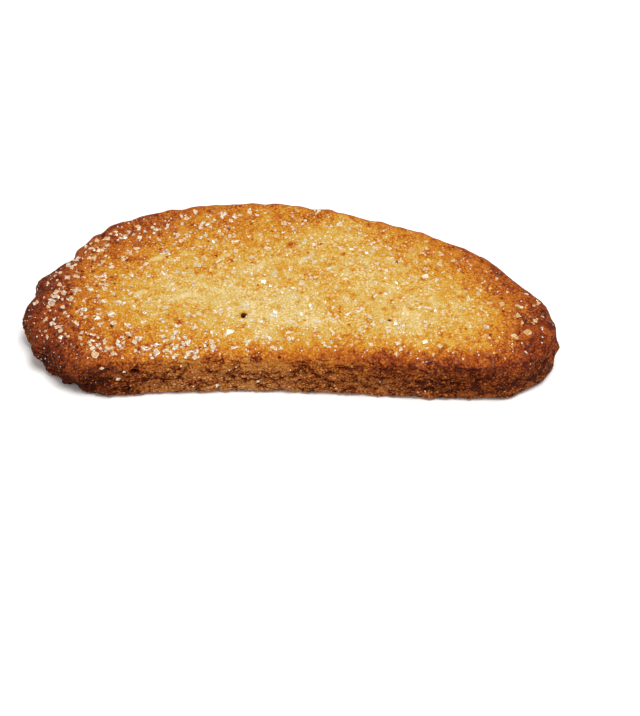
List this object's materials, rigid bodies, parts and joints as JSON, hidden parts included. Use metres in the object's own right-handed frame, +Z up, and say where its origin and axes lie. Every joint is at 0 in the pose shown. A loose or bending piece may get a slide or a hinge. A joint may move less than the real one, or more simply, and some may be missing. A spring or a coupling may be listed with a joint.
{
  "type": "rusk",
  "caption": "Long D-shaped slice of twice-baked sweet loaf, sugared on its upper cut face, lying flat on the other cut face.",
  "frame": {"origin": "middle of the rusk's outline, on the flat cut face it lies on", "axes": "+X along the slice towards its narrow, pointed end, +Y from its straight side to its domed crust, +Z up out of the sugared cut face"},
  "size_m": [0.1186, 0.0522, 0.0137],
  "materials": {
    "crumb": "matt golden baked crumb with browned edges",
    "sugar": "glinting coarse sugar"
  },
  "bodies": {
    "root": {"rusk": "crumb"}
  },
  "joints": []
}
